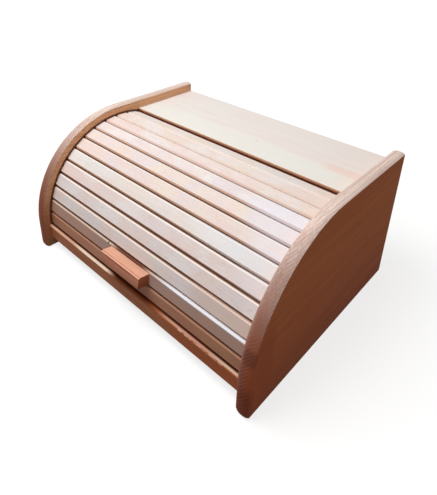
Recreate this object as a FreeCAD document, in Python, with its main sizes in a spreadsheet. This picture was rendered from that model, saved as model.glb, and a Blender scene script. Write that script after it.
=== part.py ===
import FreeCAD, Part
import math
import os
import Sketcher

# A free-standing beech box whose front and top are closed by a slatted shutter. The shutter runs in a
# circular channel routed into the inner face of each side, and slides back under the top board.
# Millimetres, +Z up, the front towards -Y. The origin is the middle of the footprint, on the floor.

# Driving sizes in millimetres and degrees. Each is written once, here.
SIZES = {
    # case
    "box_width": 390,
    "box_depth": 300,
    "box_height": 185,
    "side_thickness": 15,
    "arc_radius": 145,
    "edge_round": 10,
    "face_planing": 4,
    "foot_round": 11,
    "foot_trim": 4.5,
    "top_thickness": 12,
    "top_recess": 14,
    "top_behind_axis": 38,
    "top_edge_ease": 0.8,
    "back_thickness": 10,
    "skirt_height": 17,
    "rail_top": 36,
    "rail_setback": 9,
    "rail_thickness": 16,
    "rail_edge": 1.5,
    "tenon_length": 6,
    "tenon_thickness": 6,
    "tenon_shoulder": 3,
    "tenon_play": 0.1,
    "bottom_thickness": 5,
    "bottom_height": 2,
    "housing_depth": 5,
    "housing_play": 0.3,
    # shutter
    "rim_depth": 14,
    "slat_count": 13,
    "slat_thickness": 7,
    "slat_chamfer": 2.2,
    "slat_gap": 0.1,
    "stop_gap": 0.3,
    "channel_depth": 7,
    "slat_end_play": 1,
    "channel_play": 0.8,
    "shutter_overlap": 7.1,
    "end_margin": 0.7,
    "tail_room": 1.2,
    "canvas_thickness": 0.8,
    "canvas_margin": 10,
    "canvas_slit": 0.02,
    # handle
    "handle_length": 71,
    "handle_height": 14.5,
    "handle_depth": 15.5,
    "handle_shift": -2,
    "handle_rise": -1.2,
    "handle_nose": 1.6,
    "handle_step": 0.8,
    "handle_quirk": 0.4,
    "handle_ease": 1,
    # fastenings
    "dowel_diameter": 6,
    "dowel_play": 0.05,
    "dowel_in_side": 9,
    "dowel_in_board": 14,
    "dowel_end_gap": 0.4,
    "screw_spacing": 44,
    "screw_diameter": 3.5,
    "screw_head_diameter": 7,
    "screw_head_height": 2.4,
    "screw_bite": 10,
    "screw_play": 0.15,
}

# The slats share a number with their place, counted up from the front rail.
HANDLE_SLAT = 2
TOP_DOWEL_SHARES = (0.35, 0.8)
BACK_DOWEL_SHARES = (0.25, 0.75)

# Cuts that run out of the wood are drawn this much past it.
RUN_OUT = 1
# An edge is taken to lie at a place when it is within this of it, and longer ones than SHORT_EDGE are dressed.
NEAR = 0.01
SHORT_EDGE = 1
# A pocket that takes away less than this many cubic millimetres has missed.
LEAST_CUT = 1

doc = FreeCAD.newDocument("tambour_lid_box")
sheet = doc.addObject("Spreadsheet::Sheet", "sizes")
for row, (alias, value) in enumerate(SIZES.items(), start=1):
    sheet.set(f"A{row}", alias)
    sheet.set(f"B{row}", str(value))
    sheet.setAlias(f"B{row}", alias)
doc.recompute()


def cell(alias):
    """The expression that reads one size from the sheet."""
    return f"sizes.{alias}"


def angle_cell(alias):
    """The expression that reads one angle from the sheet."""
    return f"(sizes.{alias} * 1 deg)"


# Places worked out from the driving sizes, as expressions. Y is measured from the middle of the depth.
FRONT = f"(-{cell('box_depth')} / 2)"
BACK = f"({cell('box_depth')} / 2)"
INNER_X = f"({cell('box_width')} / 2 - {cell('side_thickness')})"
CLEAR_WIDTH = f"({cell('box_width')} - 2 * {cell('side_thickness')})"
AXIS_Y = f"({FRONT} + {cell('arc_radius')})"
AXIS_Z = f"({cell('box_height')} - {cell('arc_radius')})"

# Levels of the boards between the sides.
TOP_FACE = f"({cell('box_height')} - {cell('top_recess')})"
TOP_UNDERSIDE = f"({TOP_FACE} - {cell('top_thickness')})"
BOARD_FRONT = f"({AXIS_Y} + {cell('top_behind_axis')})"
BACK_FACE = f"({BACK} - {cell('back_thickness')})"
RAIL_FRONT = f"({FRONT} + {cell('rail_setback')})"
RAIL_BACK = f"({RAIL_FRONT} + {cell('rail_thickness')})"
PANEL_BASE = f"({cell('skirt_height')} + {cell('bottom_height')})"
PANEL_TOP = f"({PANEL_BASE} + {cell('bottom_thickness')})"
DOWEL_RADIUS = f"({cell('dowel_diameter')} / 2)"
BORE_RADIUS = f"({DOWEL_RADIUS} + {cell('dowel_play')})"

# The shutter spans from the rail to a little way under the top board. Its angles run up and back from
# the level line in front of the axis, and its slats share them evenly.
FACE_RADIUS = f"({cell('arc_radius')} - {cell('rim_depth')})"
INNER_RADIUS = f"({FACE_RADIUS} - {cell('slat_thickness')})"
REST_HEIGHT = f"({cell('rail_top')} + {cell('stop_gap')} - {AXIS_Z})"
SHUTTER_START = f"asin({REST_HEIGHT} / {INNER_RADIUS})"
SHUTTER_END = (
    f"(90 deg + asin({cell('top_behind_axis')} / {FACE_RADIUS})"
    f" + {angle_cell('shutter_overlap')})"
)
PITCH = f"(({SHUTTER_END} - {SHUTTER_START}) / {cell('slat_count')})"
HALF_SLAT = f"({INNER_RADIUS} * tan({PITCH} / 2) - {cell('slat_gap')} / 2)"

# The walls of the channel and the canvas, about the same axis.
CHANNEL_OUTER = (
    f"(sqrt({FACE_RADIUS} ^ 2 + ({HALF_SLAT} - {cell('slat_chamfer')}) ^ 2)"
    f" + {cell('channel_play')})"
)
CHANNEL_INNER = f"({INNER_RADIUS} - {cell('channel_play')})"
CANVAS_OUTER = f"({INNER_RADIUS} - {cell('canvas_slit')})"
CANVAS_INNER = f"({CANVAS_OUTER} - {cell('canvas_thickness')})"

CHANNEL_START = f"({SHUTTER_START} - {angle_cell('end_margin')})"
CHANNEL_END = (
    f"(180 deg + asin(({AXIS_Z} - {PANEL_TOP} - {cell('tail_room')}) / {CHANNEL_OUTER}))"
)


def between(low, high, share):
    """The place a share of the way from one expression to another."""
    return f"({low} + ({high} - {low}) * {share})"


TOP_DOWELS = [
    (between(BOARD_FRONT, BACK, share), f"({TOP_UNDERSIDE} + {cell('top_thickness')} / 2)")
    for share in TOP_DOWEL_SHARES
]
BACK_DOWELS = [
    (f"({BACK} - {cell('back_thickness')} / 2)", between(cell("skirt_height"), TOP_UNDERSIDE, share))
    for share in BACK_DOWEL_SHARES
]

# The rail's stub tenon, as front, low, back and high places. Its mortise is larger by the play.
TENON_FRONT = f"({RAIL_FRONT} + {cell('tenon_shoulder')})"
TENON_BACK = f"({TENON_FRONT} + {cell('tenon_thickness')})"
TENON_LOW = f"({cell('skirt_height')} + {cell('tenon_shoulder')})"
TENON_HIGH = f"({cell('rail_top')} - {cell('tenon_shoulder')})"


def new_body(name):
    body = doc.addObject("PartDesign::Body", name)
    body.Label = name
    return body


def new_sketch(body, name, role, offset=None):
    """A sketch on one of the body's own planes, moved along the plane's normal by an expression."""
    sketch = body.newObject("Sketcher::SketchObject", f"{body.Name}_{name}")
    plane = next(item for item in body.Origin.OriginFeatures if item.Role == role)
    sketch.AttachmentSupport = [(plane, "")]
    sketch.MapMode = "FlatFace"
    if offset:
        sketch.setExpression("AttachmentOffset.Base.z", offset)
    return sketch


def fix_point(sketch, geometry, point, across, up):
    """Ties one point of a sketch to the sketch's origin by two expressions."""
    for kind, expression in (("DistanceX", across), ("DistanceY", up)):
        index = sketch.addConstraint(Sketcher.Constraint(kind, -1, 1, geometry, point, 1.0))
        sketch.setExpression(f"Constraints[{index}]", expression)


def add_polygon(sketch, corners):
    """A closed outline whose corners are pairs of expressions."""
    count = len(corners)
    first = sketch.GeometryCount
    start = [
        FreeCAD.Vector(math.cos(2 * math.pi * i / count), math.sin(2 * math.pi * i / count), 0)
        for i in range(count)
    ]
    for i in range(count):
        sketch.addGeometry(Part.LineSegment(start[i], start[(i + 1) % count]))
    for i in range(count):
        following = first + (i + 1) % count
        sketch.addConstraint(Sketcher.Constraint("Coincident", first + i, 2, following, 1))
    for i, (across, up) in enumerate(corners):
        fix_point(sketch, first + i, 1, across, up)


def add_rectangle(sketch, left, low, right, high):
    add_polygon(sketch, [(left, low), (right, low), (right, high), (left, high)])


def add_circle(sketch, across, up, radius):
    circle = Part.Circle(FreeCAD.Vector(1, 1, 0), FreeCAD.Vector(0, 0, 1), 2)
    geometry = sketch.addGeometry(circle)
    fix_point(sketch, geometry, 3, across, up)
    index = sketch.addConstraint(Sketcher.Constraint("Radius", geometry, 2.0))
    sketch.setExpression(f"Constraints[{index}]", radius)


def add_feature(body, kind, name, sketch, length=None, flip=False, both_ways=False):
    """A pad or pocket of a sketch. Every pocket must take some wood away."""
    before = body.Shape.Volume if kind == "Pocket" else 0
    feature = body.newObject(f"PartDesign::{kind}", f"{body.Name}_{name}")
    feature.Profile = sketch
    feature.Reversed = flip
    if both_ways:
        feature.SideType = "Symmetric"
    if length:
        feature.setExpression("Length", length)
    else:
        feature.Type = "ThroughAll"
    doc.recompute()
    if kind == "Pocket" and body.Shape.Volume > before - LEAST_CUT:
        raise RuntimeError(f"{feature.Name} cuts nothing")
    return feature


def dress_edges(body, kind, name, size_property, size, wanted):
    """A fillet or chamfer on the edges of the tip that pass a test."""
    base = body.Tip
    names = [f"Edge{i}" for i, edge in enumerate(base.Shape.Edges, start=1) if wanted(edge)]
    if not names:
        raise RuntimeError(f"{body.Name}_{name} finds no edge")
    feature = body.newObject(f"PartDesign::{kind}", f"{body.Name}_{name}")
    feature.Base = (base, names)
    feature.setExpression(size_property, size)
    doc.recompute()
    return feature


def edge_at(x=None, y=None, z=None):
    """A test for edges whose bounding box is flat at each given coordinate."""
    wanted = {"X": x, "Y": y, "Z": z}

    def test(edge):
        box = edge.BoundBox
        for axis, place in wanted.items():
            if place is None:
                continue
            low, high = getattr(box, f"{axis}Min"), getattr(box, f"{axis}Max")
            if abs(low - place) > NEAR or abs(high - place) > NEAR:
                return False
        return True

    return test


def bore_pair(body, name, centres, depth):
    """Dowel bores in both ends of a board that spans the case."""
    for label, sign in (("left", "-"), ("right", "")):
        end_sketch = new_sketch(body, f"{name}_{label}", "YZ_Plane", f"{sign}{INNER_X}")
        for across, up in centres:
            add_circle(end_sketch, across, up, BORE_RADIUS)
        add_feature(body, "Pocket", f"{name}_{label}_bores", end_sketch, depth, flip=sign == "-")


def make_side(name, to_right):
    """One end board: a quarter-round front, crowned edges, the shutter's channel and the joints."""
    sign = 1 if to_right else -1
    body = new_body(name)
    inner_face = INNER_X if to_right else f"-{INNER_X}"
    outer_face = f"({INNER_X} + {cell('side_thickness')})"
    rough_face = f"({INNER_X} - {cell('face_planing')})"
    if not to_right:
        outer_face, rough_face = f"-{outer_face}", f"-{rough_face}"
    outline = new_sketch(body, "outline", "YZ_Plane", rough_face)
    add_rectangle(outline, FRONT, f"-{cell('foot_trim')}", BACK, cell("box_height"))
    rough_thickness = f"{cell('side_thickness')} + 2 * {cell('face_planing')}"
    add_feature(body, "Pad", "board", outline, rough_thickness, flip=not to_right)

    front = -SIZES["box_depth"] / 2
    top = SIZES["box_height"]
    corner = edge_at(y=front, z=top)
    dress_edges(body, "Fillet", "front_arc", "Radius", cell("arc_radius"), corner)
    corner = edge_at(y=front, z=-SIZES["foot_trim"])
    dress_edges(body, "Fillet", "foot_corner", "Radius", cell("foot_round"), corner)
    dress_edges(
        body,
        "Fillet",
        "round_over",
        "Radius",
        cell("edge_round"),
        lambda edge: edge_at(z=top)(edge) and edge.BoundBox.YLength > SHORT_EDGE,
    )

    # Planing both faces after the edges are rounded leaves them crowned, with crisp arrises. The foot
    # is then sawn flat.
    around = [
        f"{FRONT} - {RUN_OUT}",
        f"-{cell('foot_trim')} - {RUN_OUT}",
        f"{BACK} + {RUN_OUT}",
        f"{cell('box_height')} + {RUN_OUT}",
    ]
    for label, face, flip in (("inner", inner_face, not to_right), ("outer", outer_face, to_right)):
        planed = new_sketch(body, f"{label}_face", "YZ_Plane", face)
        add_rectangle(planed, *around)
        add_feature(body, "Pocket", f"planed_{label}_face", planed, flip=flip)
    foot = new_sketch(body, "foot", "YZ_Plane", inner_face)
    add_rectangle(foot, *around[:3], "0")
    add_feature(body, "Pocket", "sawn_foot", foot, both_ways=True)

    # The channel is turned about the shutter's axis between two angles.
    channel = new_sketch(body, "channel", "XY_Plane")
    channel.AttachmentOffset = FreeCAD.Placement(
        FreeCAD.Vector(0, 0, 0), FreeCAD.Rotation(FreeCAD.Vector(-1, 0, 0), 1)
    )
    channel.setExpression("AttachmentOffset.Base.y", AXIS_Y)
    channel.setExpression("AttachmentOffset.Base.z", AXIS_Z)
    channel.setExpression("AttachmentOffset.Rotation.Angle", CHANNEL_START)
    near, far = f"{INNER_X} - {RUN_OUT}", f"{INNER_X} + {cell('channel_depth')}"
    if not to_right:
        near, far = f"-({far})", f"-({near})"
    add_rectangle(channel, near, f"-{CHANNEL_OUTER}", far, f"-{CHANNEL_INNER}")
    before = body.Shape.Volume
    groove = body.newObject("PartDesign::Groove", f"{name}_channel_cut")
    groove.Profile = channel
    groove.ReferenceAxis = (channel, ["H_Axis"])
    groove.Reversed = True
    groove.setExpression("Angle", f"{CHANNEL_END} - {CHANNEL_START}")
    doc.recompute()
    if body.Shape.Volume > before - LEAST_CUT:
        raise RuntimeError(f"{name} has no channel")

    housing = new_sketch(body, "bottom_housing", "YZ_Plane", inner_face)
    reach = f"({cell('housing_depth')} + {cell('housing_play')})"
    add_rectangle(
        housing,
        f"{RAIL_BACK} - {reach}",
        PANEL_BASE,
        f"{BACK_FACE} + {reach}",
        f"{PANEL_TOP} + {cell('housing_play')}",
    )
    add_feature(body, "Pocket", "bottom_housing_cut", housing, reach, flip=to_right)

    mortise = new_sketch(body, "mortise", "YZ_Plane", inner_face)
    play = cell("tenon_play")
    add_rectangle(
        mortise,
        f"{TENON_FRONT} - {play}",
        f"{TENON_LOW} - {play}",
        f"{TENON_BACK} + {play}",
        f"{TENON_HIGH} + {play}",
    )
    mortise_depth = f"{cell('tenon_length')} + {play}"
    add_feature(body, "Pocket", "rail_mortise", mortise, mortise_depth, flip=to_right)

    bores = new_sketch(body, "bores", "YZ_Plane", inner_face)
    for across, up in TOP_DOWELS + BACK_DOWELS:
        add_circle(bores, across, up, BORE_RADIUS)
    add_feature(body, "Pocket", "dowel_bores", bores, cell("dowel_in_side"), flip=to_right)
    return body


def make_top_board():
    """The fixed shelf behind the shutter, hollowed under its front edge so that the slats pass."""
    body = new_body("top_board")
    section = new_sketch(body, "section", "YZ_Plane")
    add_rectangle(section, BOARD_FRONT, TOP_UNDERSIDE, BACK, TOP_FACE)
    add_feature(body, "Pad", "board", section, CLEAR_WIDTH, both_ways=True)
    cove = new_sketch(body, "cove", "YZ_Plane")
    add_circle(cove, AXIS_Y, AXIS_Z, CHANNEL_OUTER)
    add_feature(body, "Pocket", "cove_cut", cove, both_ways=True)
    bore_pair(body, "ends", TOP_DOWELS, cell("dowel_in_board"))
    front = -SIZES["box_depth"] / 2 + SIZES["arc_radius"] + SIZES["top_behind_axis"]
    top = SIZES["box_height"] - SIZES["top_recess"]
    dress_edges(
        body, "Fillet", "front_ease", "Radius", cell("top_edge_ease"), edge_at(y=front, z=top)
    )
    return body


def make_back_board():
    """The upright board under the back of the shelf, housed for the bottom panel."""
    body = new_body("back_board")
    section = new_sketch(body, "section", "YZ_Plane")
    add_rectangle(section, BACK_FACE, cell("skirt_height"), BACK, TOP_UNDERSIDE)
    add_feature(body, "Pad", "board", section, CLEAR_WIDTH, both_ways=True)
    reach = f"({cell('housing_depth')} + {cell('housing_play')})"
    housing = new_sketch(body, "housing", "YZ_Plane")
    top = f"{PANEL_TOP} + {cell('housing_play')}"
    add_rectangle(
        housing, f"{BACK_FACE} - {RUN_OUT}", PANEL_BASE, f"{BACK_FACE} + {reach}", top
    )
    add_feature(body, "Pocket", "housing_cut", housing, both_ways=True)
    bore_pair(body, "ends", BACK_DOWELS, cell("dowel_in_board"))
    return body


def make_front_rail():
    """The low rail that the closed shutter rests on, with a stub tenon at each end."""
    body = new_body("front_rail")
    section = new_sketch(body, "section", "YZ_Plane")
    add_rectangle(section, RAIL_FRONT, cell("skirt_height"), RAIL_BACK, cell("rail_top"))
    add_feature(body, "Pad", "rail", section, CLEAR_WIDTH, both_ways=True)
    front = -SIZES["box_depth"] / 2 + SIZES["rail_setback"]
    upper = edge_at(y=front, z=SIZES["rail_top"])
    dress_edges(body, "Chamfer", "top_edge", "Size", cell("rail_edge"), upper)
    reach = f"({cell('housing_depth')} + {cell('housing_play')})"
    housing = new_sketch(body, "housing", "YZ_Plane")
    top = f"{PANEL_TOP} + {cell('housing_play')}"
    add_rectangle(
        housing, f"{RAIL_BACK} - {reach}", PANEL_BASE, f"{RAIL_BACK} + {RUN_OUT}", top
    )
    add_feature(body, "Pocket", "housing_cut", housing, both_ways=True)
    tenons = new_sketch(body, "tenons", "YZ_Plane")
    add_rectangle(tenons, TENON_FRONT, TENON_LOW, TENON_BACK, TENON_HIGH)
    span = f"{CLEAR_WIDTH} + 2 * {cell('tenon_length')}"
    add_feature(body, "Pad", "tenon_bar", tenons, span, both_ways=True)
    return body


def make_bottom_panel():
    """The thin floor, held in housings on all four sides."""
    body = new_body("bottom_panel")
    outline = new_sketch(body, "outline", "XY_Plane", PANEL_BASE)
    half = f"({INNER_X} + {cell('housing_depth')})"
    add_rectangle(
        outline,
        f"-{half}",
        f"{RAIL_BACK} - {cell('housing_depth')}",
        half,
        f"{BACK_FACE} + {cell('housing_depth')}",
    )
    add_feature(body, "Pad", "panel", outline, cell("bottom_thickness"))
    return body


def make_dowels(name, centres):
    """A matching set of dowels in both ends of one board."""
    body = new_body(name)
    length = f"{cell('dowel_in_side')} + {cell('dowel_in_board')} - 2 * {cell('dowel_end_gap')}"
    for label, sign in (("left", "-"), ("right", "")):
        board_end = f"{INNER_X} - {cell('dowel_in_board')} + {cell('dowel_end_gap')}"
        circles = new_sketch(body, label, "YZ_Plane", f"{sign}({board_end})")
        for across, up in centres:
            add_circle(circles, across, up, DOWEL_RADIUS)
        add_feature(body, "Pad", f"{label}_pegs", circles, length, flip=sign == "-")
    return body


def stand_on_shutter(body, angle):
    """Turns a piece drawn level in front of the shutter's axis up to its place on the circle."""
    body.Placement = FreeCAD.Placement(
        FreeCAD.Vector(0, 0, 0), FreeCAD.Rotation(FreeCAD.Vector(-1, 0, 0), 1)
    )
    body.setExpression("Placement.Base.y", AXIS_Y)
    body.setExpression("Placement.Base.z", AXIS_Z)
    body.setExpression("Placement.Rotation.Angle", angle)


def slat_angle(number):
    return f"({SHUTTER_START} + {number - 0.5} * {PITCH})"


def screw_circles(sketch, radius, up):
    for side in ("-", "+"):
        across = f"{cell('handle_shift')} {side} {cell('screw_spacing')} / 2"
        add_circle(sketch, across, up, radius)


SCREW_BORE = f"({cell('screw_diameter')} / 2 + {cell('screw_play')})"


def make_slat(number):
    """A flat slat with both long outer edges chamfered. Its plain ends run in the channels."""
    body = new_body(f"slat_{number:02d}")
    inner = f"-{INNER_RADIUS}"
    shoulder = f"-{FACE_RADIUS} + {cell('slat_chamfer')}"
    flat = f"({HALF_SLAT} - {cell('slat_chamfer')})"
    section = new_sketch(body, "section", "YZ_Plane")
    add_polygon(
        section,
        [
            (inner, f"-{HALF_SLAT}"),
            (inner, HALF_SLAT),
            (shoulder, HALF_SLAT),
            (f"-{FACE_RADIUS}", flat),
            (f"-{FACE_RADIUS}", f"-{flat}"),
            (shoulder, f"-{HALF_SLAT}"),
        ],
    )
    length = f"{CLEAR_WIDTH} + 2 * ({cell('channel_depth')} - {cell('slat_end_play')})"
    add_feature(body, "Pad", "bar", section, length, both_ways=True)
    if number == HANDLE_SLAT:
        bores = new_sketch(body, "bores", "XZ_Plane")
        screw_circles(bores, SCREW_BORE, cell("handle_rise"))
        add_feature(body, "Pocket", "screw_bores", bores, both_ways=True)
    stand_on_shutter(body, slat_angle(number))
    return body


def make_canvas():
    """The cloth glued behind the slats, which holds them together."""
    body = new_body("canvas_backing")
    half = f"({INNER_X} - {cell('canvas_margin')})"
    strip = new_sketch(body, "strip", "XY_Plane")
    add_rectangle(strip, f"-{half}", f"-{CANVAS_OUTER}", half, f"-{CANVAS_INNER}")
    turned = body.newObject("PartDesign::Revolution", "canvas_backing_cloth")
    turned.Profile = strip
    turned.ReferenceAxis = (strip, ["H_Axis"])
    turned.Reversed = True
    turned.setExpression("Angle", f"{SHUTTER_END} - {SHUTTER_START}")
    doc.recompute()
    bores = new_sketch(body, "bores", "XZ_Plane")
    bores.AttachmentOffset = FreeCAD.Placement(
        FreeCAD.Vector(0, 0, 0), FreeCAD.Rotation(FreeCAD.Vector(-1, 0, 0), 1)
    )
    bores.setExpression("AttachmentOffset.Rotation.Angle", f"{HANDLE_SLAT - 0.5} * {PITCH}")
    screw_circles(bores, SCREW_BORE, cell("handle_rise"))
    add_feature(body, "Pocket", "screw_bores", bores, both_ways=True)
    stand_on_shutter(body, SHUTTER_START)
    return body


def make_handle():
    """The pull: a short block with a moulded front edge, screwed to its slat from inside."""
    body = new_body("handle")
    low = f"({cell('handle_rise')} - {cell('handle_height')} / 2)"
    high = f"({cell('handle_rise')} + {cell('handle_height')} / 2)"
    back, front = f"(-{FACE_RADIUS})", f"(-{FACE_RADIUS} - {cell('handle_depth')})"
    step = f"({high} - {cell('handle_step')})"
    quirk = f"({front} + {cell('handle_nose')} + {cell('handle_quirk')})"
    section = new_sketch(body, "section", "YZ_Plane", cell("handle_shift"))
    add_polygon(
        section, [(back, low), (back, high), (quirk, high), (quirk, step), (front, step), (front, low)]
    )
    add_feature(body, "Pad", "block", section, cell("handle_length"), both_ways=True)
    outer = SIZES["rim_depth"] - SIZES["arc_radius"] - SIZES["handle_depth"]
    half = SIZES["handle_height"] / 2
    upper = edge_at(y=outer, z=SIZES["handle_rise"] + half - SIZES["handle_step"])
    dress_edges(body, "Fillet", "nose", "Radius", cell("handle_nose"), upper)
    under = edge_at(y=outer, z=SIZES["handle_rise"] - half)
    dress_edges(body, "Fillet", "lower_edge", "Radius", cell("handle_ease"), under)
    bores = new_sketch(body, "bores", "XZ_Plane", FACE_RADIUS)
    screw_circles(bores, SCREW_BORE, cell("handle_rise"))
    depth = f"{cell('screw_bite')} + {cell('screw_play')}"
    add_feature(body, "Pocket", "screw_bores", bores, depth, flip=True)
    stand_on_shutter(body, slat_angle(HANDLE_SLAT))
    return body


def make_handle_screws():
    """Two round-headed screws through canvas and slat into the handle."""
    body = new_body("handle_screws")
    height = cell("handle_rise")
    head_seat = f"sqrt({CANVAS_INNER} ^ 2 - ({cell('screw_head_diameter')} / 2) ^ 2)"
    seat = f"({head_seat} - {cell('screw_play')})"
    shank_start = f"({seat} - {cell('screw_head_height')} / 2)"
    for label, side in (("left", "-"), ("right", "+")):
        across = f"{cell('handle_shift')} {side} {cell('screw_spacing')} / 2"
        shank = new_sketch(body, f"{label}_shank", "XZ_Plane", shank_start)
        add_circle(shank, across, height, f"{cell('screw_diameter')} / 2")
        length = f"{FACE_RADIUS} + {cell('screw_bite')} - {shank_start}"
        add_feature(body, "Pad", f"{label}_rod", shank, length)
        head = new_sketch(body, f"{label}_head", "XZ_Plane", seat)
        add_circle(head, across, height, f"{cell('screw_head_diameter')} / 2")
        add_feature(body, "Pad", f"{label}_cap", head, cell("screw_head_height"), flip=True)
    stand_on_shutter(body, slat_angle(HANDLE_SLAT))
    return body


sub_parts = [
    make_side("left_side", False),
    make_side("right_side", True),
    make_top_board(),
    make_back_board(),
    make_front_rail(),
    make_bottom_panel(),
    make_dowels("top_board_dowels", TOP_DOWELS),
    make_dowels("back_board_dowels", BACK_DOWELS),
]
sub_parts += [make_slat(number) for number in range(1, SIZES["slat_count"] + 1)]
sub_parts += [make_canvas(), make_handle(), make_handle_screws()]
doc.recompute()

for item in doc.Objects:
    if "Invalid" in item.State or "Error" in item.State:
        raise RuntimeError(f"{item.Name} failed: {item.State}")
for item in sub_parts:
    if item.Shape.isNull() or not item.Shape.isValid():
        raise RuntimeError(f"{item.Label} has no valid shape")

os.makedirs("parts", exist_ok=True)
for item in sub_parts:
    item.Shape.exportStep(f"parts/{item.Label}.step")
    box = item.Shape.BoundBox
    print(
        f"{item.Label}: {len(item.Shape.Solids)} solid(s), {item.Shape.Volume:.0f} mm3,"
        f" Y {box.YMin:.1f} to {box.YMax:.1f}, Z {box.ZMin:.1f} to {box.ZMax:.1f}"
    )
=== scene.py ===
import math

import bpy
from mathutils import Matrix, Vector

# Oiled and bleached beech over the fixed frame of a roll-front box. Sizes are in millimetres and
# angles in degrees, apart from the camera's turns.
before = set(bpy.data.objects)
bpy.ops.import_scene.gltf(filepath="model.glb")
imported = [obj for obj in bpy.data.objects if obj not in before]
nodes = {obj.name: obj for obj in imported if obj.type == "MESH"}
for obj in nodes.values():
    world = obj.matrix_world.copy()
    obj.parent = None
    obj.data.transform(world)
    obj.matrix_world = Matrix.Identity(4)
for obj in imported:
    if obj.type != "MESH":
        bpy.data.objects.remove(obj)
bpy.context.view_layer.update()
mm = 0.001  # in the metres that Blender takes
white = (1, 1, 1, 1)
print("frame loaded:", len(nodes), "pieces")


def linear(hexText):  # an sRGB hex colour as the linear RGBA that a socket takes, by the sRGB curve
    parts = [int(hexText[i:i + 2], 16) / 255 for i in (1, 3, 5)]
    return [p / 12.92 if p <= 0.04045 else ((p + 0.055) / 1.055) ** 2.4 for p in parts] + [1]


def addNode(tree, kind, feeds=None, **settings):  # one node with its settings, values and links
    node = tree.nodes.new(kind)
    for name, value in settings.items():
        setattr(node, name, value)
    for socket, value in (feeds or {}).items():
        if isinstance(value, bpy.types.NodeSocket):
            tree.links.new(value, node.inputs[socket])
        else:
            node.inputs[socket].default_value = value
    return node


def newMaterial(name):  # an empty material with its output, ready for nodes
    made = bpy.data.materials.new(name)
    made.use_nodes = True
    made.node_tree.nodes.clear()
    return made, made.node_tree, addNode(made.node_tree, "ShaderNodeOutputMaterial")


def dress(piece, material):  # the piece wears this one material
    piece.data.materials.clear()
    piece.data.materials.append(material)


# Beech, planed and lacquered: pale pink-brown and straight grained, with growth lines a few
# millimetres apart, hair-fine fibre and short dark ray flecks. Across the fibre it is darker.
# A pair whose name ends in Range is where a noise or a turn starts to show and where it is full.
beechWood = {
    "base": "#C99B78",
    "tint": "#D6B096",
    "grey": "#C8A58C",
    "ring": "#A87450",
    "fleck": "#8A5636",
    "end": "#9C6A4A",
    "ringSpacing": 3.2,
    "ringStrength": 0.35,
    "fibreWidth": 1.1,
    "fibreLength": 60,  # in widths
    "fibreStrength": 0.3,
    "fibreRange": (0.38, 0.68),
    "fleckWidth": 0.8,
    "fleckLength": 5,  # in widths
    "fleckStrength": 0.35,
    "fleckRange": (0.6, 0.7),
    "patchLength": 90,
    "patchWidth": 33.33,
    "patchStrength": 0.8,
    "pinkRange": (0.42, 0.6),
    "greyRange": (0.45, 0.62),
    "endFrom": 0.25,  # how far a face turns to the end of the fibre before it darkens
    "endFull": 0.95,
    "endStrength": 0.55,
    "endRing": "#B58A74",
    "endRingStrength": 0.0,
    "endRingRange": (0.1, 0.8),
    "endRingGain": 2.2,
    "season": [(0.35, 0.12), (0.75, 1.0)],  # share of a year's growth, and how dark it is
    "staveWidth": 400,
    "staveShift": 0.5,
    "staveStrength": 0.0,
    "staveSpread": (900, 40, 160),  # how far apart in the tree the staves may be cut
    "pith": (60, 45),
    "waviness": 5,
    "bendLength": 166.67,
    "bendWidth": 50,
    "ior": 1.5,
    "roughness": 0.45,
    "roughnessSpread": (-0.05, 0.1),
    "specular": 0.2,
    "reliefDepth": 0.05,
    "reliefStrength": 0.25,
    "ringRelief": -0.6,  # the growth lines lie this share below the fibre
    "seed": 1,
    "seedStep": 7.31,  # sets boards with near seeds apart
    "turn": (0, 0, 0),
    "middle": (0, 0, 0),
    "faces": [],  # direction in the board's own axes, tone and strength
    "faceRange": (0.88, 0.98),
    "bands": [],  # axis of the board, where the band starts and is full, tone and strength
    "rims": [],  # distance from the shutter's axis, half width, direction, tone and strength
    "rimFull": 0.6,  # share of the half width
    "marks": [],  # place and size in the box, tone and strength
    "markRange": (1.0, 0.2),
}


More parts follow.
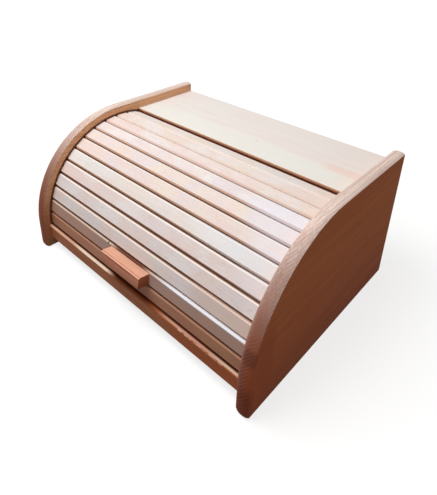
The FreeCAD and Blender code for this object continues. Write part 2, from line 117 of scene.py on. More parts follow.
def beech(name, **changes):  # one board's wood, by what it changes in beechWood
    look = {**beechWood, **changes}
    made, tree, output = newMaterial(name)
    # The grain runs along x of these coordinates, in millimetres, and the board's width along z.
    place = addNode(tree, "ShaderNodeTexCoord")
    turned = addNode(
        tree,
        "ShaderNodeMapping",
        {
            "Vector": place.outputs["Object"],
            "Location": look["middle"],
            "Rotation": [math.radians(a) for a in look["turn"]],
            "Scale": (1 / mm, 1 / mm, 1 / mm),
        },
    )
    split = addNode(tree, "ShaderNodeSeparateXYZ", {0: turned.outputs[0]})
    # Each glued stave is cut from another place in the tree.
    strip = addNode(
        tree,
        "ShaderNodeMath",
        {0: split.outputs["Z"], 1: 1 / look["staveWidth"], 2: look["staveShift"]},
        operation="MULTIPLY_ADD",
    )
    stave = addNode(tree, "ShaderNodeMath", {0: strip.outputs[0]}, operation="FLOOR")
    numbered = addNode(
        tree,
        "ShaderNodeMath",
        {0: stave.outputs[0], 1: look["seed"] * look["seedStep"]},
        operation="ADD",
    )
    dice = addNode(
        tree, "ShaderNodeTexWhiteNoise", {"W": numbered.outputs[0]}, noise_dimensions="1D"
    )
    cut = addNode(
        tree,
        "ShaderNodeVectorMath",
        {0: dice.outputs["Color"], 1: look["staveSpread"], 2: turned.outputs[0]},
        operation="MULTIPLY_ADD",
    )
    # Slow bends of the grain.
    bendSize = 1 / look["bendWidth"]
    bendPlace = addNode(
        tree,
        "ShaderNodeVectorMath",
        {0: cut.outputs[0], 1: (1 / look["bendLength"], bendSize, bendSize)},
        operation="MULTIPLY",
    )
    bend = addNode(
        tree,
        "ShaderNodeTexNoise",
        {"Vector": bendPlace.outputs[0], "Scale": 1.0, "Detail": 2.0},
    )
    bent = addNode(
        tree,
        "ShaderNodeVectorMath",
        {
            0: bend.outputs["Color"],
            1: (0, look["waviness"], look["waviness"]),
            2: turned.outputs[0],
        },
        operation="MULTIPLY_ADD",
    )
    # Growth lines are rings about a pith that lies outside the board.
    fromPith = addNode(
        tree,
        "ShaderNodeVectorMath",
        {0: bent.outputs[0], 1: (0, 1, 1), 2: (0, look["pith"][0], look["pith"][1])},
        operation="MULTIPLY_ADD",
    )
    radius = addNode(tree, "ShaderNodeVectorMath", {0: fromPith.outputs[0]}, operation="LENGTH")
    years = addNode(
        tree,
        "ShaderNodeMath",
        {0: radius.outputs["Value"], 1: 1 / look["ringSpacing"], 2: dice.outputs["Value"]},
        operation="MULTIPLY_ADD",
    )
    season = addNode(tree, "ShaderNodeMath", {0: years.outputs[0]}, operation="FRACT")
    ring = addNode(tree, "ShaderNodeValToRGB", {0: season.outputs[0]})
    ring.color_ramp.interpolation = "EASE"
    for end in ring.color_ramp.elements:
        end.color = (0, 0, 0, 1)
    for share, dark in look["season"]:
        ring.color_ramp.elements.new(share).color = (dark, dark, dark, 1)
    # Fibre, as long streaks.
    fibreSize = 1 / look["fibreWidth"]
    fibrePlace = addNode(
        tree,
        "ShaderNodeVectorMath",
        {0: cut.outputs[0], 1: (fibreSize / look["fibreLength"], fibreSize, fibreSize)},
        operation="MULTIPLY",
    )
    fibre = addNode(
        tree,
        "ShaderNodeTexNoise",
        {"Vector": fibrePlace.outputs[0], "Scale": 1.0, "Detail": 3.0, "Roughness": 0.6},
    )
    fibreMask = addNode(
        tree,
        "ShaderNodeMapRange",
        {
            "Value": fibre.outputs[0],
            "From Min": look["fibreRange"][0],
            "From Max": look["fibreRange"][1],
            "To Max": look["fibreStrength"],
        },
    )
    # Ray flecks, short and dark.
    fleckSize = 1 / look["fleckWidth"]
    fleckPlace = addNode(
        tree,
        "ShaderNodeVectorMath",
        {0: cut.outputs[0], 1: (fleckSize / look["fleckLength"], fleckSize, fleckSize)},
        operation="MULTIPLY",
    )
    fleckNoise = addNode(
        tree,
        "ShaderNodeTexNoise",
        {"Vector": fleckPlace.outputs[0], "Scale": 1.0, "Detail": 0.0},
    )
    fleckMask = addNode(
        tree,
        "ShaderNodeMapRange",
        {
            "Value": fleckNoise.outputs[0],
            "From Min": look["fleckRange"][0],
            "From Max": look["fleckRange"][1],
            "To Max": look["fleckStrength"],
        },
    )
    # Slow drifts between cream, pink and grey along the board.
    patchSize = 1 / look["patchWidth"]
    patchPlace = addNode(
        tree,
        "ShaderNodeVectorMath",
        {0: cut.outputs[0], 1: (1 / look["patchLength"], patchSize, patchSize)},
        operation="MULTIPLY",
    )
    patch = addNode(
        tree,
        "ShaderNodeTexNoise",
        {"Vector": patchPlace.outputs[0], "Scale": 1.0, "Detail": 1.0},
    )
    patches = addNode(tree, "ShaderNodeSeparateColor", {0: patch.outputs["Color"]})
    pinkMask = addNode(
        tree,
        "ShaderNodeMapRange",
        {
            "Value": patches.outputs[0],
            "From Min": look["pinkRange"][0],
            "From Max": look["pinkRange"][1],
            "To Max": look["patchStrength"],
        },
    )
    greyMask = addNode(
        tree,
        "ShaderNodeMapRange",
        {
            "Value": patches.outputs[2],
            "From Min": look["greyRange"][0],
            "From Max": look["greyRange"][1],
            "To Max": look["patchStrength"],
        },
    )
    staveMask = addNode(
        tree,
        "ShaderNodeMath",
        {0: dice.outputs["Value"], 1: look["staveStrength"]},
        operation="MULTIPLY",
    )
    # Where the surface cuts across the fibre it drinks more finish and shows the growth lines.
    acrossFibre = addNode(
        tree,
        "ShaderNodeVectorRotate",
        {
            "Vector": place.outputs["Normal"],
            "Rotation": [math.radians(a) for a in look["turn"]],
        },
        rotation_type="EULER_XYZ",
    )
    facing = addNode(tree, "ShaderNodeSeparateXYZ", {0: acrossFibre.outputs[0]})
    endGrain = addNode(tree, "ShaderNodeMath", {0: facing.outputs["X"]}, operation="ABSOLUTE")
    endMask = addNode(
        tree,
        "ShaderNodeMapRange",
        {
            "Value": endGrain.outputs[0],
            "From Min": look["endFrom"],
            "From Max": look["endFull"],
            "To Max": look["endStrength"],
        },
    )
    ringAmount = addNode(
        tree,
        "ShaderNodeMapRange",
        {
            "Value": endGrain.outputs[0],
            "From Min": look["endRingRange"][0],
            "From Max": look["endRingRange"][1],
            "To Min": look["ringStrength"],
            "To Max": min(1.0, look["ringStrength"] * look["endRingGain"]),
        },
    )
    ringMask = addNode(
        tree,
        "ShaderNodeMath",
        {0: ring.outputs[0], 1: ringAmount.outputs[0]},
        operation="MULTIPLY",
    )
    layers = [
        (pinkMask.outputs[0], look["tint"]),
        (greyMask.outputs[0], look["grey"]),
        (staveMask.outputs[0], look["ring"]),
        (endMask.outputs[0], look["end"]),
    ]
    for direction, tone, strength in look["faces"]:
        turnedTo = addNode(
            tree,
            "ShaderNodeVectorMath",
            {0: acrossFibre.outputs[0], 1: direction},
            operation="DOT_PRODUCT",
        )
        mask = addNode(
            tree,
            "ShaderNodeMapRange",
            {
                "Value": turnedTo.outputs["Value"],
                "From Min": look["faceRange"][0],
                "From Max": look["faceRange"][1],
                "To Max": strength,
            },
        )
        layers.append((mask.outputs[0], tone))
    endRingMask = addNode(
        tree,
        "ShaderNodeMath",
        {0: ringMask.outputs[0], 1: endMask.outputs[0]},
        operation="MULTIPLY",
    )
    paleMask = addNode(
        tree,
        "ShaderNodeMath",
        {0: endRingMask.outputs[0], 1: look["endRingStrength"]},
        operation="MULTIPLY",
        use_clamp=True,
    )
    layers += [
        (ringMask.outputs[0], look["ring"]),
        (fibreMask.outputs[0], look["fleck"]),
        (fleckMask.outputs[0], look["fleck"]),
    ]
    for axis, begins, full, tone, strength in look["bands"]:
        mask = addNode(
            tree,
            "ShaderNodeMapRange",
            {
                "Value": split.outputs[axis],
                "From Min": begins,
                "From Max": full,
                "To Max": strength,
            },
        )
        layers.append((mask.outputs[0], tone))
    for rimRadius, halfWidth, direction, tone, strength in look["rims"]:
        fromAxis = addNode(
            tree,
            "ShaderNodeVectorMath",
            {0: place.outputs["Object"], 1: (0, shutter["axisY"] * mm, shutter["axisZ"] * mm)},
            operation="SUBTRACT",
        )
        flat = addNode(
            tree,
            "ShaderNodeVectorMath",
            {0: fromAxis.outputs[0], 1: (0, 1, 1)},
            operation="MULTIPLY",
        )
        reach = addNode(tree, "ShaderNodeVectorMath", {0: flat.outputs[0]}, operation="LENGTH")
        off = addNode(
            tree,
            "ShaderNodeMath",
            {0: reach.outputs["Value"], 1: rimRadius * mm},
            operation="SUBTRACT",
        )
        away = addNode(tree, "ShaderNodeMath", {0: off.outputs[0]}, operation="ABSOLUTE")
        onRim = addNode(
            tree,
            "ShaderNodeMapRange",
            {
                "Value": away.outputs[0],
                "From Min": halfWidth * mm,
                "From Max": halfWidth * look["rimFull"] * mm,
                "To Max": strength,
            },
        )
        turnedTo = addNode(
            tree,
            "ShaderNodeVectorMath",
            {0: acrossFibre.outputs[0], 1: direction},
            operation="DOT_PRODUCT",
        )
        mask = addNode(
            tree,
            "ShaderNodeMath",
            {0: onRim.outputs[0], 1: turnedTo.outputs["Value"]},
            operation="MULTIPLY",
            use_clamp=True,
        )
        layers.append((mask.outputs[0], tone))
    for spot, size, tone, strength in look["marks"]:
        near = addNode(
            tree,
            "ShaderNodeMapping",
            {
                "Vector": place.outputs["Object"],
                "Location": [v * mm for v in spot],
                "Scale": [v * mm for v in size],
            },
            vector_type="TEXTURE",
        )
        # Squared before its length is taken, so that the mark is a rounded block.
        squared = addNode(
            tree,
            "ShaderNodeVectorMath",
            {0: near.outputs[0], 1: near.outputs[0]},
            operation="MULTIPLY",
        )
        away = addNode(tree, "ShaderNodeVectorMath", {0: squared.outputs[0]}, operation="LENGTH")
        mask = addNode(
            tree,
            "ShaderNodeMapRange",
            {
                "Value": away.outputs["Value"],
                "From Min": look["markRange"][0],
                "From Max": look["markRange"][1],
                "To Max": strength,
            },
            interpolation_type="SMOOTHSTEP",
        )
        layers.append((mask.outputs[0], tone))
    layers.append((paleMask.outputs[0], look["endRing"]))
    colour = linear(look["base"])
    for mask, tone in layers:
        layer = addNode(
            tree, "ShaderNodeMix", {0: mask, 6: colour, 7: linear(tone)}, data_type="RGBA"
        )
        colour = layer.outputs[2]
    gloss = addNode(
        tree,
        "ShaderNodeMapRange",
        {
            "Value": fibre.outputs[0],
            "To Min": look["roughness"] + look["roughnessSpread"][0],
            "To Max": look["roughness"] + look["roughnessSpread"][1],
        },
    )
    relief = addNode(
        tree,
        "ShaderNodeMath",
        {0: ringMask.outputs[0], 1: look["ringRelief"], 2: fibreMask.outputs[0]},
        operation="MULTIPLY_ADD",
    )
    bump = addNode(
        tree,
        "ShaderNodeBump",
        {
            "Height": relief.outputs[0],
            "Strength": look["reliefStrength"],
            "Distance": look["reliefDepth"] * mm,
        },
    )
    shader = addNode(
        tree,
        "ShaderNodeBsdfPrincipled",
        {
            "Base Color": colour,
            "Roughness": gloss.outputs[0],
            "IOR": look["ior"],
            "Specular IOR Level": look["specular"],
            "Normal": bump.outputs[0],
        },
    )
    tree.links.new(shader.outputs[0], output.inputs["Surface"])
    return made


# The shutter's slats stand round this axis, counted up from the rail.
shutter = {
    "axisY": -5,
    "axisZ": 40,
    "faceRadius": 131,
    "startAngle": -1.7098,
    "pitch": 8.8980,
    "channelMouth": 133,
    "handleSlat": 2,
}


def slatTurn(number):  # how far round the axis a slat's middle stands
    return shutter["startAngle"] + (number - 0.5) * shutter["pitch"]


def levelPlace(angle):  # mapping that lays a slat level, its face at y = 0 and its grain along x
    back = Matrix.Rotation(math.radians(angle), 3, "X")
    axis = Vector((0, shutter["axisY"], shutter["axisZ"]))
    shift = Vector((0, shutter["faceRadius"], 0)) - back @ axis
    return {"turn": (angle, 0, 0), "middle": tuple(shift)}


# The end boards: solid beech, its grain along the depth, so that the curved front shows end grain.
# Their broad faces carry painted shade, darker brown outside than inside; the edges stay pale.
sideLook = {
    "base": "#F8E7DD",
    "tint": "#F3D9CD",
    "grey": "#E8D5CB",
    "ring": "#AE8270",
    "fleck": "#8A5636",
    "end": "#84402A",
    "endRing": "#AA6E52",
    "endRingStrength": 0.7,
    "endFrom": 0.3,
    "endStrength": 0.95,
    "turn": (0, 0, -90),
    "staveWidth": 62,
    "staveShift": 0.3,
    "ringSpacing": 3.0,
    "ringStrength": 0.16,
    "fibreWidth": 2.6,
    "fibreStrength": 0.3,
    "fleckStrength": 0.2,
    "roughness": 0.6,
    "specular": 0.06,
    "waviness": 14,
    # painted shade on the broad faces: dark brown outside, a lighter orange inside
    "outsideShade": "#CC6C2A",
    "inside": "#FFC494",
    "faceShadeStrength": 0.95,
    # painted shade along the channel's mouth, where the slats enter the end boards
    "channelShade": "#7E4830",
    "channelLine": 1.5,  # half the width of the painted shade line at the channel's mouth
    "channelShadeStrength": 0.9,
    "bands": [("Z", 130, 0, "#822800", 0.5)],  # painted shade, redder and darker towards the foot
}
endBoards = {
    "left": {
        "seed": 3,
        "pith": (475, -741),
        "outward": 1,  # the way that the outer face looks along the board's own y
        "marks": [
            ((-186, -152, 20), (20, 14, 60), "#9E6444", 0.3),  # painted shade, browner at the foot
        ],
    },
    "right": {
        "seed": 8,
        "pith": (-475, -741),
        "outward": -1,
        "marks": [
            ((198, -135, 25), (9, 30, 96), "#A8542A", 0.85),  # painted shade on the outer corner, as on the outer face
            ((188, -152, 4), (24, 14, 44), "#5A1C08", 0.6),  # painted shade at the foot
            ((190, -149, 78), (10, 12, 11), "#4E322C", 0.55),  # a knot
            ((184, -150, 62), (6, 8, 9), "#7A5248", 0.4),
        ],
    },
}
for side, board in endBoards.items():
    outer, inner = (0, board["outward"], 0), (0, -board["outward"], 0)
    mouth, line = shutter["channelMouth"], sideLook["channelLine"]
    changes = {
        **sideLook,
        **board,
        "faces": [
            (outer, sideLook["outsideShade"], sideLook["faceShadeStrength"]),
            (inner, sideLook["inside"], sideLook["faceShadeStrength"]),
        ],
        "rims": [(mouth, line, inner, sideLook["channelShade"], sideLook["channelShadeStrength"])],
    }
    dress(nodes[side + "_side"], beech("paintedShadeBeech" + side.title(), **changes))

# The top board: beech bleached almost white and glued up from staves that run along the width. Its
# front edge is left brown, with painted shade below it, where the shutter slides under it.
boardLook = {
    "base": "#ECE5E0",
    "tint": "#EDDFDA",
    "grey": "#E9E6E0",
    "ring": "#DCCEC4",
    "fleck": "#D2BEAE",
    "end": "#C99A76",
    "turn": (-90, 0, 0),
    "staveWidth": 39,
    "staveShift": 0.8462,
    "ringStrength": 0.14,
    "fibreStrength": 0.12,
    "fleckStrength": 0.08,
    "patchStrength": 0.5,
    "seed": 4,
    "bands": [("Z", -73, -71.5, "#EAEBE2", 0.6)],  # the greener front stave
    "marks": [
        ((162, 76, 171), (44, 11, 8), "#F0C4B4", 0.45),  # a pink patch
        ((170, 56, 171), (26, 16, 8), "#EDD8CE", 0.25),
        ((26.5, 69.9, 171), (2.2, 1.0, 3), "#B79E92", 0.7),  # a pin knot
        ((0, 32.5, 166), (2000, 1.1, 9), "#CE9A78", 1.0),  # the brown front edge, and painted shade in the gap below it
        ((0, 32.5, 162.3), (2000, 3.2, 7.4), "#561C08", 1.0),
    ],
}
dress(nodes["top_board"], beech("bleachedBeech", **boardLook))

# The back board: beech under clear lacquer, which keeps its warm brown. Its staves differ in tone.
backLook = {
    "base": "#C59A7A",
    "tint": "#CDA488",
    "grey": "#BF9678",
    "ring": "#A07250",
    "staveWidth": 72,
    "staveStrength": 0.15,
    "ringStrength": 0.25,
    "fibreStrength": 0.2,
    "seed": 12,
}
dress(nodes["back_board"], beech("lacqueredBeechBack", **backLook))

# The rail below the shutter: beech oiled brown, its upper front edge rubbed pale and chipped.
# The pale edge is worn and also a painted highlight; painted shade lies on its top and below the
# handle.
railLook = {
    "base": "#AE6A42",
    "tint": "#B4714A",
    "grey": "#A4633C",
    "ring": "#8E4E2C",
    "fleck": "#7A3E22",
    "ringStrength": 0.25,
    "specular": 0.06,
    "seed": 6,
    "wearAndHighlight": "#F2DEC8",
    "wearAndHighlightPink": "#E0B29C",
    "shade": "#52281A",
    "frontFace": -141,
    "wearAndHighlightEdge": (-139, 36.5),  # depth and height of the middle of the worn edge with its painted highlight
    "wearAndHighlightDepth": 4,
    "wearAndHighlightSoft": 0.4,
    "chipDepth": 3,
    "chipHeight": 0.8,
    "wear": 0.9,
    # from and to along the front edge, lower edge, and the tone
    "wearAndHighlightRuns": [
        (-230, -20, 34.6, "wearAndHighlightPink"),
        (-120, -22, 34.2, "wearAndHighlight"),
        (44, 250, 35.2, "wearAndHighlightPink"),
        (128, 250, 35.4, "wearAndHighlight"),
    ],
    "chipped": "#E8C4B0",
    # the pale chips below that edge: place along it, height and half the length
    "chips": [
        (92, 35.1, 4),
        (102, 34.8, 3),
        (108, 34.5, 3),
        (115, 34.1, 2.5),
        (121, 34.9, 5),
        (128, 34.2, 3),
        (133, 33.9, 2.5),
        (139, 34.8, 5),
        (144, 34.2, 2.5),
        (151, 34.9, 4),
    ],
}
railMarks = []
front, shade, wear = railLook["frontFace"], railLook["shade"], railLook["wear"]
wearAndHighlightPlace, wearAndHighlightHeight = railLook["wearAndHighlightEdge"]
for begins, ends, lower, tone in railLook["wearAndHighlightRuns"]:
    spot = ((begins + ends) / 2, wearAndHighlightPlace, wearAndHighlightHeight)
    down = wearAndHighlightHeight - lower + railLook["wearAndHighlightSoft"]
    size = ((ends - begins) / 2, railLook["wearAndHighlightDepth"], down)
    railMarks.append((spot, size, railLook[tone], wear))
for middle, height, half in railLook["chips"]:
    size = (half, railLook["chipDepth"], railLook["chipHeight"])
    railMarks.append(((middle, front, height), size, railLook["chipped"], wear))
railMarks += [
    ((0, -134.2, 36), (2000, 4.6, 2.2), shade, 1.0),  # painted shade on the top, under the shutter
    ((-17, front, 32.5), (1.6, 2, 1.0), shade, 0.8),  # three dents
    ((-12, front, 31.4), (1.8, 2, 1.1), shade, 0.8),
    ((-7, front, 30.8), (1.3, 2, 0.9), shade, 0.7),
    ((18, -140, 37), (52, 6, 5), "#7A3A1C", 0.7),  # painted shadow of the handle
    ((150, front, 24), (90, 4, 18), "#A8501E", 0.5),  # redder towards the right
]
dress(nodes["front_rail"], beech("wornPaintedLightBeech", **railLook, marks=railMarks))

# Birch plywood, sanded and bare: its peeled face veneer shows a wide slow figure and dark pores.
plywoodLook = {
    "base": "#E2C6A0",
    "tint": "#E6CCAC",
    "grey": "#D8BC98",
    "ring": "#C09A6C",
    "fleck": "#8E6A44",
    "end": "#B88C60",
    "ringSpacing": 9,
    "ringStrength": 0.3,
    "pith": (14, 30),
    "waviness": 26,
    "fibreStrength": 0.2,
    "roughness": 0.6,
    "turn": (-90, 0, 0),
    "seed": 21,
}
dress(nodes["bottom_panel"], beech("birchPlywood", **plywoodLook))

# The dowels: bare beech pegs, paler than the boards and close grained.
dowelLook = {"base": "#DDB992", "ringSpacing": 1.4, "endStrength": 0.35, "seed": 30}
for name in ("top_board_dowels", "back_board_dowels"):
    dress(nodes[name], beech("flutedDowelBeech_" + name, **dowelLook))
print("case dressed")

# The slats: beech bleached to drifting cream, pink and grey, the lowest two painted brown as shade.
# Painted highlights lie on the upper chamfers, painted shade on the lower ones and in the grooves.
woodTones = {
    "cream": "#ECDFD3",
    "rose": "#EBD8D2",
    "lilac": "#E5DBDE",
    "ash": "#E6E2E0",
    "white": "#EDE7E6",
    # painted shade: the brown tones of the two lowest slats, which face the front
    "shadeClay": "#B48F7E",
    "shadeClayPink": "#B68C80",
    "shadeClayGrey": "#A88E84",
    "shadeUmber": "#B47F5E",
    "shadeUmberPink": "#B27660",
    "shadeUmberGrey": "#A0745A",
}
slatTones = [  # base, tint and grey, from the lowest slat up
    ("shadeUmber", "shadeUmberPink", "shadeUmberGrey"),
    ("shadeClay", "shadeClayPink", "shadeClayGrey"),
    ("ash", "rose", "lilac"),
    ("white", "lilac", "rose"),
    ("rose", "lilac", "white"),
    ("ash", "cream", "white"),
    ("rose", "cream", "lilac"),
    ("cream", "rose", "lilac"),
    ("white", "rose", "lilac"),
    ("rose", "cream", "white"),
    ("cream", "rose", "white"),
    ("cream", "white", "ash"),
    ("white", "ash", "cream"),
]
slatLook = {
    "ring": "#CCB4A4",
    "fleck": "#B89C90",
    "patchLength": 42,
    "patchStrength": 0.7,
    "ringStrength": 0.1,
    "fibreStrength": 0.1,
    "fibreLength": 30,
    "fleckWidth": 1.1,  # wider than real flecks, which would be lost at this size of picture
    "fleckStrength": 0.15,
    "specular": 0.1,
}
slatCut = {  # where in the tree each slat is cut
    "seedStep": 1.7,
    "pithFrom": (30, 20),
    "pithStep": (17, 31),
    "pithRepeat": (4, 3),
}
slatEdges = {
    # painted highlight on the upper chamfers, brighter on the higher slats, which face the light
    "wearAndHighlight": ["#B98A70", "#DCCAB6", "#F2E2D6", "#FBEFE6", "#FFF8F2"],  # from the lowest slat up
    "highlightStrength": 0.85,
    "lowerChamferShade": ["#A87050", "#D09C7A"],  # painted shade on the lower chamfers, for the lower and the upper slats
    "upperFrom": 6,
    # how strong the painted shade is on each slat's lower chamfer and grooves, from the lowest up
    "shadeAmount": [0.9, 0.9, 0.9, 0.9, 0.9, 0.85, 0.8, 0.75, 0.6, 0.35, 0.2, 0.1, 0.05],
    "groove": "#74482F",
    # where each band starts and is full, across the slat from its middle
    "upperChamfer": (7.0, 7.5),
    "upperGroove": (8.5, 9.0),
    "lowerChamfer": (-7.2, -7.7),
    "lowerGroove": (-8.4, -9.4),
    # and along it, where it runs into the end boards and painted shade darkens its ends
    "ends": (178.6, 179.4),
    "endStrength": 0.9,
}
# By slat: a dark tick, painted shade along the handle's back and a painted highlight to its right,
# painted cool reflections at the right ends, and painted shade below the top board.
slatMarks = {
    2: [
        ((-44.8, -131.8, 73.8), (1.2, 3, 2.6), "#4A2414", 0.9),
        # painted shade along the handle's back
        ((-2, -131, 74.3), (40, 4, 3.2), "#6E4232", 1.0),
        # a painted highlight on the chamfer to the right of the handle
        ((122, -130.5, 74.6), (88, 3.4, 2.6), "#F6F6FF", 1.0),
    ],
    3: [((160, -128, 88), (80, 20, 20), "#D6B6A4", 0.5)],
    # painted cool reflections at the right ends
    5: [((190, -102, 128), (60, 20, 20), "#F4F0F4", 0.4)],
    6: [((150, -88, 141), (110, 20, 20), "#EEF1F6", 0.5)],
    7: [((190, -74, 151), (70, 20, 20), "#EEEEF8", 0.45)],
    8: [((190, -58, 159), (90, 20, 20), "#E9E8F6", 0.5)],
    9: [((180, -42, 165), (90, 20, 20), "#E9E8F6", 0.5)],
    # painted shade below the top board
    13: [((0, 33.0, 166.5), (2000, 2.8, 5), "#5A2208", 1.0)],
}
for number, tones in enumerate(slatTones, start=1):
    base, tint, grey = [woodTones[tone] for tone in tones]
    wearAndHighlight = slatEdges["wearAndHighlight"][min(number, len(slatEdges["wearAndHighlight"])) - 1]
    lowerChamferShade = slatEdges["lowerChamferShade"][number >= slatEdges["upperFrom"]]
    shadeAmount, groove = slatEdges["shadeAmount"][number - 1], slatEdges["groove"]
    begins, full = slatEdges["ends"]
    pithParts = zip(slatCut["pithFrom"], slatCut["pithStep"], slatCut["pithRepeat"])
    changes = {
        **slatLook,
        **levelPlace(slatTurn(number)),
        "base": base,
        "tint": tint,
        "grey": grey,
        "seed": number * slatCut["seedStep"],
        "pith": [first + step * (number % repeat) for first, step, repeat in pithParts],
        # painted highlight on the upper chamfer; painted shade in the grooves, on the lower chamfer
        # and at the ends
        "bands": [
            ("Z", *slatEdges["upperChamfer"], wearAndHighlight, slatEdges["highlightStrength"]),
            ("Z", *slatEdges["upperGroove"], groove, shadeAmount),
            ("Z", *slatEdges["lowerChamfer"], lowerChamferShade, shadeAmount),
            ("Z", *slatEdges["lowerGroove"], groove, shadeAmount),
            ("X", begins, full, groove, slatEdges["endStrength"]),
            ("X", -begins, -full, groove, slatEdges["endStrength"]),
        ],
        "marks": slatMarks.get(number, []),
    }
    dress(nodes[f"slat_{number:02d}"], beech(f"bleachedBeechSlat{number:02d}", **changes))

# The handle: freshly moulded beech, pink and straight grained, with darker end grain and a
# painted shade on its front.
handleLook = {
    "base": "#F2BDA2",
    "tint": "#F3B8A2",
    "grey": "#EBB498",
    "ring": "#CC8E6E",
    "fleck": "#B87858",
    "end": "#C47046",
    "endFrom": 0.6,
    "endStrength": 0.95,
    "ringSpacing": 2.2,
    "ringStrength": 0.22,
    "fibreStrength": 0.4,
    "fleckStrength": 0.15,
    "specular": 0.1,
    "seed": 17,
    # painted shade on its front face
    "faces": [((0, -1, 0), "#C4826A", 0.9)],
    "bands": [("Z", 5, -9, "#6E2E1C", 0.5)],  # painted shade, darker towards its lower edge
    "marks": [((-2, -148, 72.6), (40, 2.2, 1.5), "#8A4A30", 0.7)],  # painted shade in the fine step of its moulding
}
handleLook.update(levelPlace(slatTurn(shutter["handleSlat"])))
dress(nodes["handle"], beech("mouldedBeechHandle", **handleLook))
print("shutter dressed")

# Unbleached cotton canvas, plain woven: matt, with dark specks where its threads leave gaps.
canvasLook = {
    "thread": "#D8CCB4",
    "gap": "#8E8168",
    "spacing": 0.8,
    "slack": 0.4,
    "lift": 0.2,
    "liftStrength": 0.5,
    "roughness": 0.92,
}
waveLength = math.tau / 20  # between two bands of a wave texture at scale 1
canvas, tree, output = newMaterial("cottonCanvas")
place = addNode(tree, "ShaderNodeTexCoord")
weave = {}
for direction in ("X", "Z"):
    weave[direction] = addNode(
        tree,
        "ShaderNodeTexWave",
        {
            "Vector": place.outputs["Object"],
            "Scale": waveLength / (canvasLook["spacing"] * mm),
            "Distortion": canvasLook["slack"],
        },
        bands_direction=direction,
    )
crossed = addNode(
    tree,
    "ShaderNodeMath",
    {0: weave["X"].outputs[1], 1: weave["Z"].outputs[1]},
    operation="MULTIPLY",
)
cloth = addNode(
    tree,
    "ShaderNodeMix",
    {0: crossed.outputs[0], 6: linear(canvasLook["gap"]), 7: linear(canvasLook["thread"])},
    data_type="RGBA",
)
raised = addNode(
    tree,
    "ShaderNodeBump",
    {
        "Height": crossed.outputs[0],
        "Strength": canvasLook["liftStrength"],
        "Distance": canvasLook["lift"] * mm,
    },
)
shader = addNode(
    tree,
    "ShaderNodeBsdfPrincipled",
    {
        "Base Color": cloth.outputs[2],
        "Roughness": canvasLook["roughness"],
        "Normal": raised.outputs[0],
    },
)
tree.links.new(shader.outputs[0], output.inputs["Surface"])
dress(nodes["canvas_backing"], canvas)

# Zinc-plated steel screws: bright grey metal, dulled in spots.
screwLook = {"zinc": "#C4C6C8", "dullSpots": 1.1, "smooth": 0.25, "dull": 0.45}
steel, tree, output = newMaterial("zincPlatedSteel")
place = addNode(tree, "ShaderNodeTexCoord")
dull = addNode(
    tree,
    "ShaderNodeTexNoise",
    {"Vector": place.outputs["Object"], "Scale": 1 / (screwLook["dullSpots"] * mm)},
)
rough = addNode(
    tree,
    "ShaderNodeMapRange",
    {"Value": dull.outputs[0], "To Min": screwLook["smooth"], "To Max": screwLook["dull"]},
)
shader = addNode(
    tree,
    "ShaderNodeBsdfPrincipled",
    {"Base Color": linear(screwLook["zinc"]), "Metallic": 1.0, "Roughness": rough.outputs[0]},
)
tree.links.new(shader.outputs[0], output.inputs["Surface"])
dress(nodes["handle_screws"], steel)

# The floor bounces little light, and the camera, gloss and glass see it white with a soft shadow.
stage = {
    "floorReach": 30000,
    "floorDrop": 0.2,  # keeps the floor clear of the feet's lower faces
    "floorBounce": "#8E857E",
    "floorSeen": "#949494",
    "nearGlow": 0.78,
    "nearReach": 300,
    "farGlow": 1.0,
    "farReach": 1200,
    "ambient": 0.26,
    "ambientColour": "#FFF8F2",
}


def seenRays(tree):  # 1 for the rays that show the backdrop: camera, glossy and transmission rays
    rays = addNode(tree, "ShaderNodeLightPath")
    first = addNode(
        tree,
        "ShaderNodeMath",
        {0: rays.outputs["Is Camera Ray"], 1: rays.outputs["Is Glossy Ray"]},
        operation="MAXIMUM",
    )
    either = addNode(
        tree,
        "ShaderNodeMath",
        {0: first.outputs[0], 1: rays.outputs["Is Transmission Ray"]},
        operation="MAXIMUM",
    )
    return either.outputs[0]


floorMesh = bpy.data.meshes.new("floor")
reach = stage["floorReach"] * mm
corners = [(-reach, -reach, 0), (reach, -reach, 0), (reach, reach, 0), (-reach, reach, 0)]
floorMesh.from_pydata(corners, [], [(0, 1, 2, 3)])
floor = bpy.data.objects.new("floor", floorMesh)
bpy.context.scene.collection.objects.link(floor)
floor.location.z = -stage["floorDrop"] * mm
# Matt white backdrop paper with no shine, whose glow for the camera is painted light: weaker near
# the box, so that its shadow shows, and full white far off, where the lamp falls off.
paper, tree, output = newMaterial("whitePaper")
place = addNode(tree, "ShaderNodeTexCoord")
away = addNode(tree, "ShaderNodeVectorMath", {0: place.outputs["Object"]}, operation="LENGTH")
strength = addNode(
    tree,
    "ShaderNodeMapRange",
    {
        "Value": away.outputs["Value"],
        "From Min": stage["nearReach"] * mm,
        "From Max": stage["farReach"] * mm,
        "To Min": stage["nearGlow"],
        "To Max": stage["farGlow"],
    },
)
plain = addNode(tree, "ShaderNodeBsdfDiffuse", {"Color": linear(stage["floorBounce"])})
shaded = addNode(tree, "ShaderNodeBsdfDiffuse", {"Color": linear(stage["floorSeen"])})
glow = addNode(
    tree, "ShaderNodeEmission", {"Color": white, "Strength": strength.outputs[0]}
)
both = addNode(tree, "ShaderNodeAddShader", {0: shaded.outputs[0], 1: glow.outputs[0]})
seen = addNode(
    tree, "ShaderNodeMixShader", {0: seenRays(tree), 1: plain.outputs[0], 2: both.outputs[0]}
)
tree.links.new(seen.outputs[0], output.inputs["Surface"])
dress(floor, paper)

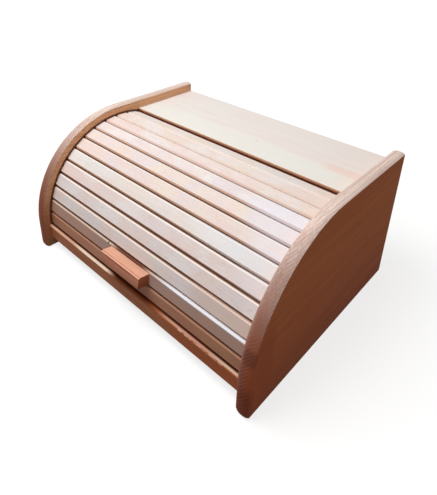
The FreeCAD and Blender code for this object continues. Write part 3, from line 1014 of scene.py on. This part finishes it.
world = bpy.data.worlds.new("studio")
bpy.context.scene.world = world
world.use_nodes = True
tree = world.node_tree
tree.nodes.clear()
soft = addNode(
    tree,
    "ShaderNodeBackground",
    {"Color": linear(stage["ambientColour"]), "Strength": stage["ambient"]},
)
backdrop = addNode(tree, "ShaderNodeBackground", {"Color": white, "Strength": 1.0})
mixed = addNode(
    tree, "ShaderNodeMixShader", {0: seenRays(tree), 1: soft.outputs[0], 2: backdrop.outputs[0]}
)
addNode(tree, "ShaderNodeOutputWorld", {"Surface": mixed.outputs[0]})

lamps = {
    # name: place, aimed at, size and watts
    "skylight": ((-250, -380, 1220), (0, 0, 100), 700, 13.0),
}
for name, (spot, aim, size, watts) in lamps.items():
    lampData = bpy.data.lights.new(name, "AREA")
    lampData.size = size * mm
    lampData.energy = watts
    lamp = bpy.data.objects.new(name, lampData)
    bpy.context.scene.collection.objects.link(lamp)
    lamp.location = Vector(spot) * mm
    lamp.rotation_euler = (Vector(aim) - Vector(spot)).to_track_quat("-Z", "Y").to_euler()
bpy.context.scene.view_settings.view_transform = "Standard"

# The camera stands where the photograph was taken. Its turns are in radians, and its focal length
# and the middle of its lens in pixels of the picture.
view = {
    "place": (355.53, -390.19, 441.58),
    "azimuth": 0.7441,
    "elevation": 0.4383,
    "roll": 0.0202,
    "focalPixels": 457.53,
    "lensMiddle": (206.0, 135.0),
    "picture": (437, 495),
    "sensor": 36,
    "nearest": 10,
}
cameraData = bpy.data.cameras.new("camera")
camera = bpy.data.objects.new("camera", cameraData)
bpy.context.scene.collection.objects.link(camera)
bpy.context.scene.camera = camera
wide, high = view["picture"]
cameraData.sensor_width = view["sensor"]
cameraData.lens = view["focalPixels"] / high * cameraData.sensor_width
cameraData.shift_x = (wide / 2 - view["lensMiddle"][0]) / high
cameraData.shift_y = (view["lensMiddle"][1] - high / 2) / high
cameraData.clip_start = view["nearest"] * mm
back = Vector((
    math.sin(view["azimuth"]) * math.cos(view["elevation"]),
    -math.cos(view["azimuth"]) * math.cos(view["elevation"]),
    math.sin(view["elevation"]),
))
level = (-back).cross(Vector((0, 0, 1))).normalized()
upright = level.cross(-back)
right = math.cos(view["roll"]) * level + math.sin(view["roll"]) * upright
up = math.cos(view["roll"]) * upright - math.sin(view["roll"]) * level
turn = Matrix((right, up, back)).transposed()
camera.matrix_world = Matrix.Translation(Vector(view["place"]) * mm) @ turn.to_4x4()
print("stage and camera set")
